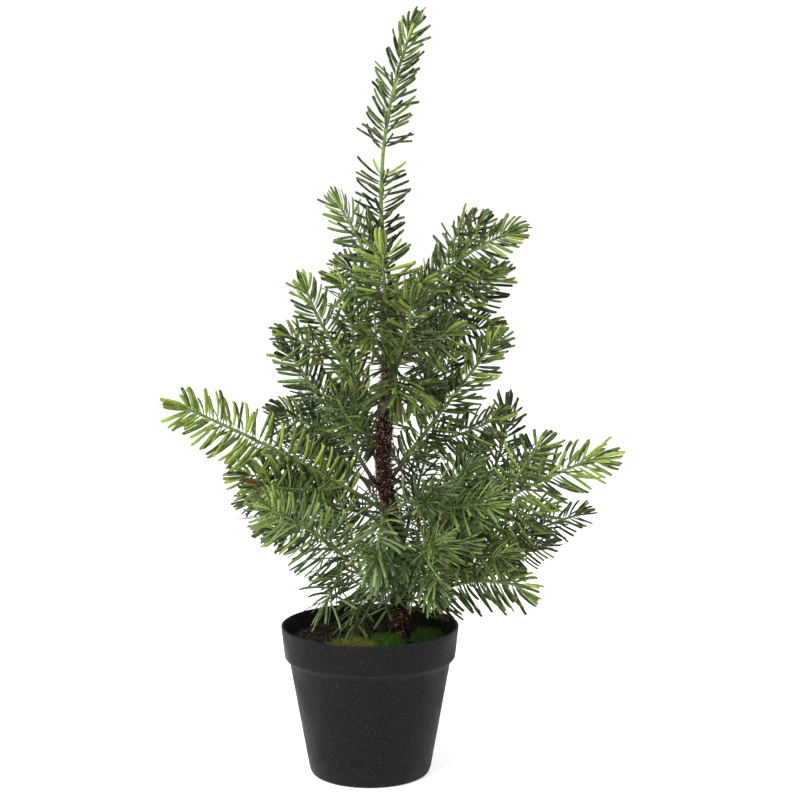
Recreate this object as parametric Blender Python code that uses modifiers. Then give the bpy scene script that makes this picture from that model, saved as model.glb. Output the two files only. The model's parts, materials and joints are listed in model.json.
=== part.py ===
"""Artificial tabletop tree: a bark-wrapped trunk with bendable needle branches, set in a weighted pot.

Units are metres and +Z is up. The origin is the centre of the pot's flat underside.
"""

import math
from collections import namedtuple

import bmesh
import bpy
from mathutils import Matrix, Vector, noise

# Clearance between pieces that touch
GAP = 0.0003

# Pot
POT_HEIGHT = 0.1195
POT_RIM_RADIUS = 0.0705
POT_BASE_RADIUS = 0.0478
POT_WALL = 0.0018
POT_FLOOR = 0.0022
POT_FOOT_ROUNDING = 0.0030
# The inside corner at the floor, as a share of the foot's rounding, and the lip's rounding, as a share of the wall
INNER_CORNER = 0.6
LIP_ROUNDING = 0.35
BAND_HEIGHT = 0.0255
BAND_TAPER = 0.0028
BAND_STEP = 0.0038
BAND_STEP_HEIGHT = 0.0036
TURNING_STEPS = 48

# What fills the pot
BALLAST_DEPTH = 0.0380
SOIL_DEPTH = 0.0065
SOIL_BELOW_RIM = 0.0115
SOIL_EDGE_DROP = 0.0020
# The soil falls to the pot over this many times its drop
SOIL_EDGE_RUN = 3
MOSS_HEIGHT = 0.0100
MOSS_LUMPINESS = 0.16
MOSS_LUMPS = 1.7

# Trunk: a steel core in a wrapped bark sleeve
TRUNK_OFFSET = 0.0220
TRUNK_HEIGHT = 0.2770
TRUNK_RADIUS = 0.0064
TRUNK_TIP_RADIUS = 0.0050
BARK_THICKNESS = 0.0024
CORE_CLEARANCE = 0.0004
TRUNK_SOCKET_FLOOR = 0.0080
TRUNK_STATIONS = 14
# How far the trunk wanders sideways, as (share of its height above the soil, offset)
TRUNK_BEND = ((0.0, 0.0), (0.17, 0.0012), (0.36, -0.0050), (0.48, -0.0115),
              (0.62, -0.0100), (0.80, -0.0070), (1.0, -0.0050))

# Branches: a bendable wire in a flat spray of needles
WIRE_RADIUS = 0.0012
WIRE_STATIONS = 6
ROOT_GAP = 0.0005
BARE_LENGTH = 0.0170
SPRAY_WIDTH = 0.0300
SPRAY_THICKNESS = 0.0190
SPRAY_OVERHANG = 0.0180
WIRE_SHORT_OF_TIP = 0.0100
# The spray's outline, as (share of its length, share of its full width)
SPRAY_OUTLINE = ((0.0, 0.30), (0.10, 0.66), (0.26, 0.96), (0.50, 1.0), (0.74, 0.92), (0.91, 0.62), (1.0, 0.26))

# share is the height of the root on the trunk, compass the direction it leaves in, anticlockwise from
# +X seen from above, rise its slope at the root, curl the change of slope along it, all in degrees
Branch = namedtuple("Branch", "name share compass rise curl length")
BRANCHES = (
    Branch("leader", 1.0, 0, 102, -33, 0.200),
    Branch("upper_left", 0.94, 144, 74, -24, 0.090),
    Branch("upper_right", 0.93, 345, 50, -26, 0.108),
    Branch("upper_front", 0.91, 262, 42, 34, 0.064),
    Branch("mid_front", 0.77, 285, 27, 32, 0.085),
    Branch("high_right", 0.86, 12, 20, 24, 0.090),
    Branch("high_left", 0.68, 190, 48, 20, 0.105),
    Branch("high_back_left", 0.79, 135, 44, 12, 0.073),
    Branch("mid_left", 0.45, 178, 59, -4, 0.121),
    Branch("twig_left", 0.58, 232, 14, 46, 0.063),
    Branch("low_left", 0.38, 202, 33, -8, 0.179),
    Branch("back_left", 0.44, 148, 18, 18, 0.105),
    Branch("lower_left", 0.34, 172, 23, -29, 0.105),
    Branch("front_left", 0.08, 218, 54, -28, 0.151),
    Branch("front_twig", 0.38, 262, 10, -70, 0.075),
    Branch("front_right", 0.19, 292, 34, -9, 0.076),
    Branch("right_front", 0.35, 322, 17, -4, 0.087),
    Branch("long_right", 0.18, 350, 48, -28, 0.179),
    Branch("back_right", 0.13, 16, 28, -13, 0.152),
    Branch("bottom_right", 0.07, 338, 50, -62, 0.101),
    Branch("mid_right", 0.47, 352, 54, -1, 0.131),
    Branch("fan_right", 0.24, 25, 14, 73, 0.152),
    Branch("low_back", 0.22, 80, 30, -8, 0.150),
    Branch("mid_back", 0.50, 108, 36, 0, 0.130),
    Branch("high_back", 0.74, 66, 42, 6, 0.102),
)

COLLECTION = "artificial_tabletop_tree"


def clear_scene():
    for item in list(bpy.data.objects):
        bpy.data.objects.remove(item)


def collection(name):
    made = bpy.data.collections.new(name)
    bpy.context.scene.collection.children.link(made)
    return made


def material(name, colour, roughness, metallic=0.0):
    made = bpy.data.materials.new(name)
    made.use_nodes = True
    shader = made.node_tree.nodes["Principled BSDF"]
    shader.inputs["Base Color"].default_value = (*colour, 1.0)
    shader.inputs["Roughness"].default_value = roughness
    shader.inputs["Metallic"].default_value = metallic
    return made


def add_object(name, data, group, finish=None):
    made = bpy.data.objects.new(name, data)
    group.objects.link(made)
    if finish:
        data.materials.append(finish)
    return made


def as_cutter(item):
    item.hide_render = True
    item.display_type = "WIRE"


def cut(item, cutter):
    boolean = item.modifiers.new("cut", "BOOLEAN")
    boolean.operation = "DIFFERENCE"
    boolean.solver = "EXACT"
    boolean.object = cutter


def smooth(mesh, angle=40):
    mesh.shade_smooth()
    mesh.set_sharp_from_angle(angle=math.radians(angle))


def turned(name, profile, group, finish):
    """A solid of revolution about Z. The profile runs from the axis round its outer side to the axis."""
    mesh = bpy.data.meshes.new(name)
    edges = [(i, i + 1) for i in range(len(profile) - 1)]
    mesh.from_pydata([(radius, 0.0, height) for radius, height in profile], edges, [])
    made = add_object(name, mesh, group, finish)
    screw = made.modifiers.new("turn", "SCREW")
    screw.steps = TURNING_STEPS
    screw.render_steps = TURNING_STEPS
    screw.use_merge_vertices = True
    screw.merge_threshold = 0.00001
    return made


def tube(name, points, radii, group, finish=None, resolution=1, caps=True):
    """A round tube along points, with a radius at each, as a curve object."""
    curve = bpy.data.curves.new(name, "CURVE")
    curve.dimensions = "3D"
    curve.twist_mode = "MINIMUM"
    curve.bevel_depth = 1.0
    curve.bevel_resolution = resolution
    curve.use_fill_caps = caps
    spline = curve.splines.new("POLY")
    spline.points.add(len(points) - 1)
    for point, place, radius in zip(spline.points, points, radii):
        point.co = (*place, 1.0)
        point.radius = radius
    return add_object(name, curve, group, finish)


def to_mesh(curved, group, finish=None, reshape=None):
    """Replaces a curve object by a closed mesh object of the same name and parent."""
    name, parent = curved.name, curved.parent
    bpy.context.view_layer.update()
    graph = bpy.context.evaluated_depsgraph_get()
    mesh = bpy.data.meshes.new_from_object(curved.evaluated_get(graph))
    place = curved.matrix_world.copy()
    bpy.data.objects.remove(curved)
    if reshape:
        mesh.transform(reshape)
    work = bmesh.new()
    work.from_mesh(mesh)
    bmesh.ops.remove_doubles(work, verts=work.verts, dist=0.00001)
    bmesh.ops.recalc_face_normals(work, faces=work.faces)
    work.to_mesh(mesh)
    work.free()
    mesh.name = name
    mesh.materials.clear()
    made = add_object(name, mesh, group, finish)
    made.parent = parent
    if not parent:
        made.matrix_world = place
    smooth(mesh)
    return made


# Heights that several pieces share
SOIL_TOP = POT_HEIGHT - SOIL_BELOW_RIM
SOIL_BOTTOM = SOIL_TOP - SOIL_DEPTH
BALLAST_TOP = POT_FLOOR + GAP + BALLAST_DEPTH
BAND_BOTTOM = POT_HEIGHT - BAND_HEIGHT
STEP_BOTTOM = BAND_BOTTOM - BAND_STEP_HEIGHT


def pot_outer_radius(height):
    """The pot's outer radius: a plain taper below the band, the band's own taper above it."""
    band_foot = POT_RIM_RADIUS - BAND_TAPER
    under_band = band_foot - BAND_STEP
    if height >= BAND_BOTTOM:
        return band_foot + BAND_TAPER * (height - BAND_BOTTOM) / BAND_HEIGHT
    if height >= STEP_BOTTOM:
        return under_band + BAND_STEP * (height - STEP_BOTTOM) / BAND_STEP_HEIGHT
    return POT_BASE_RADIUS + (under_band - POT_BASE_RADIUS) * height / STEP_BOTTOM


def pot_inner_radius(height):
    """The inside follows the outside half a wall lower, so that the step keeps its thickness."""
    return pot_outer_radius(max(height - POT_WALL * 0.5, 0.0)) - POT_WALL


def make_pot(group, finish):
    foot = [
        (POT_BASE_RADIUS - POT_FOOT_ROUNDING * (1 - math.cos(a)), POT_FOOT_ROUNDING * (1 - math.sin(a)))
        for a in (math.pi / 2 * i / 4 for i in range(5))
    ]
    lip = POT_WALL * LIP_ROUNDING
    corner = POT_FOOT_ROUNDING * INNER_CORNER
    inside = [
        (0.0, POT_FLOOR),
        (pot_inner_radius(POT_FLOOR) - corner, POT_FLOOR),
        (pot_inner_radius(POT_FLOOR + POT_FOOT_ROUNDING), POT_FLOOR + corner),
        (pot_inner_radius(STEP_BOTTOM), STEP_BOTTOM),
        (pot_inner_radius(BAND_BOTTOM + POT_WALL), BAND_BOTTOM + POT_WALL),
        (pot_inner_radius(POT_HEIGHT), POT_HEIGHT - lip),
        (pot_inner_radius(POT_HEIGHT) + lip, POT_HEIGHT),
    ]
    outside = [
        (POT_RIM_RADIUS - lip, POT_HEIGHT),
        (POT_RIM_RADIUS, POT_HEIGHT - lip),
        (pot_outer_radius(BAND_BOTTOM), BAND_BOTTOM),
        (pot_outer_radius(STEP_BOTTOM), STEP_BOTTOM),
        *foot,
        (0.0, 0.0),
    ]
    return turned("pot", inside + outside, group, finish)


def fill_profile(bottom, top, edge_drop=0.0):
    """A layer that fills the pot from bottom to top, clear of its wall and of its rounded inside corner."""
    turns = [height for height in (STEP_BOTTOM, BAND_BOTTOM + POT_WALL) if bottom < height < top]
    edge = [(pot_inner_radius(top - edge_drop) - GAP, top - edge_drop)]
    wall = [(pot_inner_radius(height) - GAP, height) for height in reversed(turns)]
    foot = [(pot_inner_radius(bottom) - GAP, bottom)]
    if bottom < POT_FLOOR + POT_FOOT_ROUNDING:
        corner = bottom + POT_FOOT_ROUNDING
        foot = [(pot_inner_radius(corner) - GAP, corner), (foot[0][0] - POT_FOOT_ROUNDING, bottom)]
    crown = [(0.0, top)]
    if edge_drop:
        crown.append((edge[0][0] - SOIL_EDGE_RUN * edge_drop, top))
    return crown + edge + wall + foot + [(0.0, bottom)]


def trunk_centre(share):
    """A point on the trunk's centre line, share up its height above the soil, and below it where negative."""
    if share <= 0:
        sideways = 0.0
    else:
        spots = [TRUNK_BEND[0], *TRUNK_BEND, TRUNK_BEND[-1]]
        n = next(i for i in range(1, len(spots) - 2) if share <= spots[i + 1][0] or i == len(spots) - 3)
        before, start, end, after = (spot[1] for spot in spots[n - 1:n + 3])
        t = (share - spots[n][0]) / (spots[n + 1][0] - spots[n][0])
        sideways = 0.5 * (2 * start + (end - before) * t + (2 * before - 5 * start + 4 * end - after) * t * t
                          + (3 * start - before - 3 * end + after) * t ** 3)
    return Vector((TRUNK_OFFSET + sideways, 0.0, SOIL_TOP + share * TRUNK_HEIGHT))


def trunk_radius(share):
    return TRUNK_RADIUS + (TRUNK_TIP_RADIUS - TRUNK_RADIUS) * max(share, 0.0)


def make_trunk(group, bark, steel):
    """The steel core stands in the ballast, inside a bark sleeve that is open at both ends."""
    foot = (TRUNK_SOCKET_FLOOR + GAP - SOIL_TOP) / TRUNK_HEIGHT
    shares = [foot, *(i / (TRUNK_STATIONS - 1) for i in range(TRUNK_STATIONS))]
    centres = [trunk_centre(share) for share in shares]
    sleeve = tube("trunk_bark", centres, [trunk_radius(share) for share in shares], group, resolution=4, caps=False)
    sleeve = to_mesh(sleeve, group, bark)
    wall = sleeve.modifiers.new("wall", "SOLIDIFY")
    wall.thickness = BARK_THICKNESS
    wall.offset = -1.0
    wall.use_even_offset = True
    core_radius = TRUNK_TIP_RADIUS - BARK_THICKNESS - CORE_CLEARANCE
    tube("trunk_core", centres, [core_radius] * len(centres), group, steel, resolution=2)


def socket_cutter(group):
    """Cuts the trunk's hole down through the soil and the filler into the ballast."""
    radius = TRUNK_RADIUS + GAP
    work = bmesh.new()
    top = POT_HEIGHT
    bmesh.ops.create_cone(work, cap_ends=True, segments=24, radius1=radius, radius2=radius,
                          depth=top - TRUNK_SOCKET_FLOOR)
    mesh = bpy.data.meshes.new("trunk_socket_cutter")
    work.to_mesh(mesh)
    work.free()
    made = add_object(mesh.name, mesh, group)
    made.location = (TRUNK_OFFSET, 0.0, (top + TRUNK_SOCKET_FLOOR) / 2)
    as_cutter(made)
    return made


def make_filling(group, cutters, finishes):
    socket = socket_cutter(cutters)
    layers = (
        ("cement_ballast", POT_FLOOR + GAP, BALLAST_TOP, 0.0),
        ("foam_filler", BALLAST_TOP + GAP, SOIL_BOTTOM - GAP, 0.0),
        ("soil_cover", SOIL_BOTTOM, SOIL_TOP, SOIL_EDGE_DROP),
    )
    for (name, bottom, top, edge_drop), finish in zip(layers, finishes):
        cut(turned(name, fill_profile(bottom, top, edge_drop), group, finish), socket)


def make_moss(name, place, size, group, finish):
    """A low clump with a lumpy top and a flat underside on the soil."""
    work = bmesh.new()
    bmesh.ops.create_icosphere(work, subdivisions=3, radius=1.0)
    seed = Vector((*place, 0.0)) * 100
    for vertex in work.verts:
        lump = 1.0 + MOSS_LUMPINESS * noise.noise(vertex.co * MOSS_LUMPS + seed)
        vertex.co = Vector((vertex.co.x * size[0], vertex.co.y * size[1], vertex.co.z * MOSS_HEIGHT)) * lump
    everything = work.verts[:] + work.edges[:] + work.faces[:]
    bmesh.ops.bisect_plane(work, geom=everything, plane_co=(0, 0, 0), plane_no=(0, 0, 1), clear_inner=True)
    bmesh.ops.holes_fill(work, edges=[edge for edge in work.edges if edge.is_boundary])
    bmesh.ops.recalc_face_normals(work, faces=work.faces)
    mesh = bpy.data.meshes.new(name)
    work.to_mesh(mesh)
    work.free()
    smooth(mesh)
    made = add_object(name, mesh, group, finish)
    made.location = (place[0], place[1], SOIL_TOP + GAP)


def along(branch, distance):
    """The branch's centre line in its own frame, X outwards and Z up: an arc from the slope rise."""
    rise, bend = math.radians(branch.rise), math.radians(branch.curl) / branch.length
    if abs(bend) < 1e-6:
        return Vector((distance * math.cos(rise), 0.0, distance * math.sin(rise)))
    slope = rise + bend * distance
    return Vector(((math.sin(slope) - math.sin(rise)) / bend, 0.0, (math.cos(rise) - math.cos(slope)) / bend))


def branch_pivot(branch):
    """The bend's place: just outside the bark on the branch's side, or on top of it for the leader."""
    if branch.share >= 1.0:
        return trunk_centre(1.0) + Vector((0.0, 0.0, WIRE_RADIUS + ROOT_GAP))
    out = trunk_radius(branch.share) + WIRE_RADIUS + ROOT_GAP
    turn = math.radians(branch.compass)
    return trunk_centre(branch.share) + out * Vector((math.cos(turn), math.sin(turn), 0.0))


def make_branch(branch, group, cutters, wire_finish, needle_finish):
    pivot = bpy.data.objects.new("bend_" + branch.name, None)
    pivot.empty_display_size = 0.01
    pivot.location = branch_pivot(branch)
    pivot.rotation_euler.z = math.radians(branch.compass)
    group.objects.link(pivot)

    wire_end = branch.length - WIRE_SHORT_OF_TIP
    shares = [i / (WIRE_STATIONS - 1) for i in range(WIRE_STATIONS)]
    route = [along(branch, wire_end * share) for share in shares]
    wire = tube("wire_" + branch.name, route, [WIRE_RADIUS] * WIRE_STATIONS, group, wire_finish)
    wire.parent = pivot

    # the bore follows the wire's own stations, and reaches past the spray's inner end and the wire's tip
    beyond = route[-1] + (route[-1] - route[-2]).normalized() * GAP
    bore = tube("bore_" + branch.name, [*route[:-1], beyond], [WIRE_RADIUS + GAP] * WIRE_STATIONS, cutters)
    bore.parent = pivot
    bore = to_mesh(bore, cutters)
    as_cutter(bore)

    span = branch.length + SPRAY_OVERHANG - BARE_LENGTH
    places = [along(branch, BARE_LENGTH + span * share) for share, _ in SPRAY_OUTLINE]
    radii = [SPRAY_THICKNESS / 2 * width for _, width in SPRAY_OUTLINE]
    spray = tube("needles_" + branch.name, places, radii, group, resolution=2)
    spray.parent = pivot
    flatten = Matrix.Scale(SPRAY_WIDTH / SPRAY_THICKNESS, 4, (0.0, 1.0, 0.0))
    spray = to_mesh(spray, group, needle_finish, flatten)
    cut(spray, bore)


def main():
    clear_scene()
    group = collection(COLLECTION)
    cutters = collection("cutters")
    make_pot(group, material("pot_plastic", (0.026, 0.026, 0.026), 0.55))
    make_filling(group, cutters, (
        material("cement", (0.42, 0.41, 0.39), 0.9),
        material("filler_foam", (0.75, 0.76, 0.70), 0.9),
        material("soil_crumb", (0.010, 0.007, 0.005), 0.95),
    ))
    make_trunk(group, material("bark_fibre", (0.045, 0.018, 0.012), 0.9),
               material("core_steel", (0.55, 0.55, 0.55), 0.4, 1.0))
    golden = material("moss_golden", (0.26, 0.22, 0.02), 0.95)
    green = material("moss_green", (0.05, 0.14, 0.02), 0.95)
    make_moss("moss_front_left", (-0.014, -0.040), (0.0160, 0.0120), group, golden)
    make_moss("moss_centre", (0.011, -0.026), (0.0150, 0.0130), group, green)
    make_moss("moss_right", (0.047, -0.010), (0.0110, 0.0130), group, green)
    wire_finish = material("stem_coating", (0.11, 0.20, 0.10), 0.5)
    needle_finish = material("needle_plastic", (0.09, 0.17, 0.035), 0.45)
    for branch in BRANCHES:
        make_branch(branch, group, cutters, wire_finish, needle_finish)


if __name__ == "__main__":
    main()
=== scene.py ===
"""Artificial tabletop tree: flat-needled sprays on a fibre-wrapped trunk, standing in a weighted pot.

Units are metres and +Z is up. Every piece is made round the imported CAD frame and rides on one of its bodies.
"""

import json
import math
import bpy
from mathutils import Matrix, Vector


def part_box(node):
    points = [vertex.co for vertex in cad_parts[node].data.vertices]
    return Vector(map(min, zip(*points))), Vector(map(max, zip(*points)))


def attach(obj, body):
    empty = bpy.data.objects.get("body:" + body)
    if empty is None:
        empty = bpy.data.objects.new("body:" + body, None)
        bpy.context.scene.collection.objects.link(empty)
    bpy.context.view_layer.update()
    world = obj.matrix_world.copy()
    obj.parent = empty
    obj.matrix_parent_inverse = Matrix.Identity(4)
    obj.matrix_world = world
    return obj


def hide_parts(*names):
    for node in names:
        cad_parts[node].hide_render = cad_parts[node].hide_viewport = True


bl_info = {
    "name": "Artificial Tabletop Tree",
    "version": (1, 0, 0),
    "blender": (4, 5, 0),
    "location": "View3D > Sidebar > Tabletop Tree",
    "description": "Models a potted artificial tree with bendable branches round its CAD frame",
    "category": "Add Mesh",
}

from collections import namedtuple

import bpy
import numpy as np
from bpy.props import FloatProperty, FloatVectorProperty, IntProperty, PointerProperty
from mathutils import Vector, noise

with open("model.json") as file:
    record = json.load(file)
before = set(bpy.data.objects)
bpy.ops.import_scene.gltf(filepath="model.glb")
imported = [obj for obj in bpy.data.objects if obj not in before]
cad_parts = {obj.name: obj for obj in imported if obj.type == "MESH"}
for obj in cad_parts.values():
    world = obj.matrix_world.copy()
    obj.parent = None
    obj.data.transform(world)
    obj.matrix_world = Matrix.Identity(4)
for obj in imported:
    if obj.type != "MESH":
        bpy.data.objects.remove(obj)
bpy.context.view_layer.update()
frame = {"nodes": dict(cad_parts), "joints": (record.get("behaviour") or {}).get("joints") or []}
JOINTS = {joint["child"][len("branch_"):]: joint for joint in frame["joints"]}
POT_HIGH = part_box("pot")[1]
SOIL_LOW, SOIL_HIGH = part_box("soil_cover")

UP = np.array((0.0, 0.0, 1.0))
FULL_TURN = 2 * math.pi
GOLDEN_TURN = math.pi * (3 - math.sqrt(5))
# How far the CAD wire stops short of its spray's tip
WIRE_SHORT_OF_TIP = 0.01
# Vertices nearer than this along a CAD wire or sleeve belong to one ring
RING_GAP = 0.004
# The least bend of an arc, in radians a metre
LEAST_BEND = 1e-4


def shade(*paint):
    """A paint-chart colour, 0 to 255, as the linear light that a shader takes."""
    return tuple(((c / 255 + 0.055) / 1.055) ** 2.4 if c > 10 else c / 255 / 12.92 for c in paint)


def tint(colour, share):
    return tuple(share * c for c in colour)


def length_of(label, text, size):
    return FloatProperty(name=label, description=text, default=size, unit="LENGTH", precision=4)


def count_of(label, text, count, most, least=0):
    return IntProperty(name=label, description=text, default=count, min=least, max=most)


def amount_of(label, text, amount, most, least=0.0):
    return FloatProperty(name=label, description=text, default=amount, min=least, max=most)


def colour_of(label, text, colour):
    return FloatVectorProperty(name=label, description=text, default=colour, subtype="COLOR", min=0, max=1)


# ---- sizes and colours

class PotSettings(bpy.types.PropertyGroup):
    height: length_of("Height", "The pot's height", POT_HIGH.z)
    rim_radius: length_of("Rim radius", "Radius at the lip", POT_HIGH.x)
    base_radius: length_of("Base radius", "Radius at the foot", 0.0478)
    wall: length_of("Wall", "Thickness of the moulded wall", 0.0018)
    floor: length_of("Floor", "Thickness of the floor", 0.0022)
    foot_rounding: length_of("Foot rounding", "Radius of the foot's edge", 0.003)
    band_height: length_of("Band height", "Height of the thick band under the lip", 0.0255)
    band_taper: length_of("Band taper", "How far the band flares to the lip", 0.0028)
    band_step: length_of("Band step", "How far the band stands out from the wall", 0.0038)
    band_step_height: length_of("Step height", "Height that the step takes", 0.0036)
    sides: count_of("Sides", "Facets round the pot", 144, 256, 24)
    colour: colour_of("Colour", "Moulded plastic", shade(14, 14, 14))
    # The scuff colour also paints the highlight over the top of the lip
    scuff_and_highlight: colour_of("Scuffs", "Pale rubbed marks", shade(44, 44, 43))


class GroundSettings(bpy.types.PropertyGroup):
    crumbs: count_of("Crumbs", "Loose crumbs of soil", 900, 4000)
    straws: count_of("Fibres", "Loose coir fibres on the soil", 240, 2000)
    threads: count_of("Moss threads", "Threads on each moss clump", 1500, 4000)
    thread: length_of("Thread length", "Length of a moss thread", 0.0062)
    soil: colour_of("Soil", "Crumbs and bed", shade(20, 14, 10))
    straw: colour_of("Fibre", "Coir fibres", shade(70, 54, 36))
    golden: colour_of("Golden moss", "Dry clump", shade(120, 116, 44))
    green: colour_of("Green moss", "Fresh clump", shade(66, 98, 28))


class TrunkSettings(bpy.types.PropertyGroup):
    fibres: count_of("Fibres", "Short fibres wrapped on the trunk", 9000, 12000)
    collar: count_of("Collar fibres", "Fibres at each branch root", 80, 200)
    fibre: length_of("Fibre length", "Length of a bark fibre", 0.003)
    lumps: amount_of("Lumps", "Unevenness as a share of the radius", 0.2, 0.5)
    dark: colour_of("Dark bark", "The deep colour of the wrap", shade(26, 14, 11))
    warm: colour_of("Warm bark", "Red-brown fibres", shade(92, 40, 28))
    pale: colour_of("Pale fibres", "Cream fibres", shade(196, 166, 132))


class SpraySettings(bpy.types.PropertyGroup):
    stem_radius: length_of("Stem radius", "Radius of a coated stem at its root", 0.0018)
    thickness: length_of("Needle thickness", "Thickness of a needle over its ridge", 0.0009)
    fullness: amount_of("Fullness", "Multiplies the count of needles", 1.32, 4, 0.1)
    seed: IntProperty(name="Seed", description="Changes where the needles stand", default=11)
    deep: colour_of("Deep green", "The darkest needles", shade(11, 20, 8))
    leaf: colour_of("Leaf green", "Most needles", shade(56, 80, 28))
    lime: colour_of("Lime green", "Young tips", shade(138, 158, 62))
    sea: colour_of("Sea green", "The bluish needles", shade(100, 130, 96))
    stem: colour_of("Stem green", "Coated stems", shade(92, 112, 58))
    root: colour_of("Stem root", "Bare stem near the trunk", shade(64, 52, 40))
    bud: colour_of("Bud brown", "Rusty needle ends", shade(92, 40, 30))


class StageSettings(bpy.types.PropertyGroup):
    lens: amount_of("Lens", "Focal length in millimetres", 85.3, 300, 10)
    tilt: FloatProperty(name="Tilt", description="How far the camera looks down", default=math.radians(7.3),
                        subtype="ANGLE")
    camera: FloatVectorProperty(name="Camera", description="Where the camera stands", subtype="TRANSLATION",
                                default=(0.0238, -1.47, 0.487), unit="LENGTH")
    sky: amount_of("Sky", "Strength of the light round the horizon", 1.06, 5)
    overhead: amount_of("Overhead", "Strength of the light from above", 0.34, 5)
    glow: amount_of("Floor glow", "How far the floor lights itself", 0.62, 2)
    key: amount_of("Key", "Power of the main light in watts", 70, 1000)
    fill: amount_of("Fill", "Power of each of the other two lights in watts", 4, 1000)
    floor: colour_of("Floor", "Colour of the floor", (0.97, 0.97, 0.97))


SETTINGS = {"tree_pot": PotSettings, "tree_ground": GroundSettings, "tree_trunk": TrunkSettings,
            "tree_sprays": SpraySettings, "tree_stage": StageSettings}


# ---- shader nodes

def finish(name, roughness, **sockets):
    """A new material with its shader's plain sockets set."""
    made = bpy.data.materials.new(name)
    made.use_nodes = True
    shader = made.node_tree.nodes["Principled BSDF"]
    shader.inputs["Roughness"].default_value = roughness
    for socket, value in sockets.items():
        shader.inputs[socket.replace("_", " ")].default_value = value
    return made


def node(material, kind, inputs=None, **settings):
    made = material.node_tree.nodes.new("ShaderNode" + kind)
    for key, value in settings.items():
        setattr(made, key, value)
    for key, value in (inputs or {}).items():
        if isinstance(value, bpy.types.NodeSocket):
            material.node_tree.links.new(value, made.inputs[key])
        else:
            made.inputs[key].default_value = value
    return made


def to_shader(material, socket, source):
    material.node_tree.links.new(source, material.node_tree.nodes["Principled BSDF"].inputs[socket])


def place_of(material, kind="Object", scale=(1.0, 1.0, 1.0)):
    start = node(material, "TexCoord").outputs[kind]
    return node(material, "Mapping", {"Vector": start, "Scale": scale}).outputs["Vector"]


def grain(material, where, scale, detail=3.0, roughness=0.55):
    settings = {"Vector": where, "Scale": scale, "Detail": detail, "Roughness": roughness}
    return node(material, "TexNoise", settings).outputs["Fac"]


def band(material, value, low, high, start=0.0, end=1.0):
    settings = {"Value": value, "From Min": low, "From Max": high, "To Min": start, "To Max": end}
    return node(material, "MapRange", settings, clamp=True).outputs["Result"]


def calc(material, operation, first, second):
    return node(material, "Math", {0: first, 1: second}, operation=operation).outputs[0]


def mixed(material, share, first, second):
    inputs = {0: share, 6: first, 7: second}
    for key in (6, 7):
        if isinstance(inputs[key], tuple) and len(inputs[key]) == 3:
            inputs[key] = (*inputs[key], 1.0)
    return node(material, "Mix", inputs, data_type="RGBA").outputs[2]


def layered(material, colour, value, low, high, most, other):
    """The colour, going over to another by up to most as the value goes from low to high."""
    return mixed(material, band(material, value, low, high, 0.0, most), colour, other)


def ramp(material, value, stops):
    made = node(material, "ValToRGB", {"Fac": value})
    elements = made.color_ramp.elements
    while len(elements) < len(stops):
        elements.new(0.5)
    for element, (spot, colour) in zip(elements, stops):
        element.position = spot
        element.color = (*colour, 1.0)
    return made.outputs["Color"]


def mark(material, name):
    return node(material, "Attribute", attribute_name=name).outputs["Fac"]


def bumped(material, height, strength, distance):
    made = node(material, "Bump", {"Height": height, "Strength": strength, "Distance": distance})
    to_shader(material, "Normal", made.outputs["Normal"])


# ---- finishes

def pot_finish(settings):
    made = finish("pot_plastic", 0.55, Specular_IOR_Level=0.09)
    where = place_of(made)
    mottle = grain(made, where, 55, 5)
    speckle = grain(made, where, 720, 3)
    colour = mixed(made, band(made, mottle, 0.35, 0.7), tint(settings.colour, 0.82),
                   tint(settings.colour, 1.18))
    colour = layered(made, colour, speckle, 0.54, 0.7, 0.6, tuple(settings.scuff_and_highlight))
    scratch = grain(made, place_of(made, scale=(1.0, 1.0, 0.22)), 150, 4, 0.7)
    patch = band(made, grain(made, where, 22, 2), 0.5, 0.66)
    wear_and_highlight = calc(made, "MULTIPLY", band(made, scratch, 0.66, 0.74), patch)
    height = node(made, "SeparateXYZ", {"Vector": where}).outputs["Z"]
    # Paler over the top of the lip: partly rubbed wear, partly painted highlight where the rounded lip catches
    # the light. Paler at the band's lower edge: rubbed wear.
    lip = band(made, height, settings.height - 0.0012, settings.height, 0.0, 0.55)
    edge = settings.height - settings.band_height
    under = calc(made, "MULTIPLY", band(made, height, edge - 0.0008, edge + 0.0002),
                 band(made, height, edge + 0.0026, edge + 0.0008, 0.0, 0.28))
    rubbed_and_highlit = calc(made, "MULTIPLY", calc(made, "MAXIMUM", lip, under), band(made, mottle, 0.4, 0.56))
    wear_and_highlight = calc(made, "MAXIMUM", calc(made, "MULTIPLY", wear_and_highlight, 0.6), rubbed_and_highlit)
    colour = mixed(made, wear_and_highlight, colour, tuple(settings.scuff_and_highlight))
    to_shader(made, "Base Color", colour)
    to_shader(made, "Roughness", band(made, mottle, 0.3, 0.72, 0.44, 0.66))
    bumped(made, calc(made, "ADD", speckle, calc(made, "MULTIPLY", mottle, 2.0)), 0.45, 0.0005)
    return made


def soil_finish(settings):
    made = finish("soil_crumb", 0.92, Specular_IOR_Level=0.2)
    tone = mark(made, "tone")
    where = place_of(made)
    colour = ramp(made, tone, ((0.0, tint(settings.soil, 0.45)), (0.55, tuple(settings.soil)),
                               (0.7, tint(settings.straw, 0.6)), (1.0, tuple(settings.straw))))
    speck = grain(made, where, 700, 4)
    to_shader(made, "Base Color", layered(made, colour, speck, 0.35, 0.7, 0.5, (0.004, 0.003, 0.002)))
    bumped(made, speck, 0.6, 0.0006)
    return made


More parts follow.
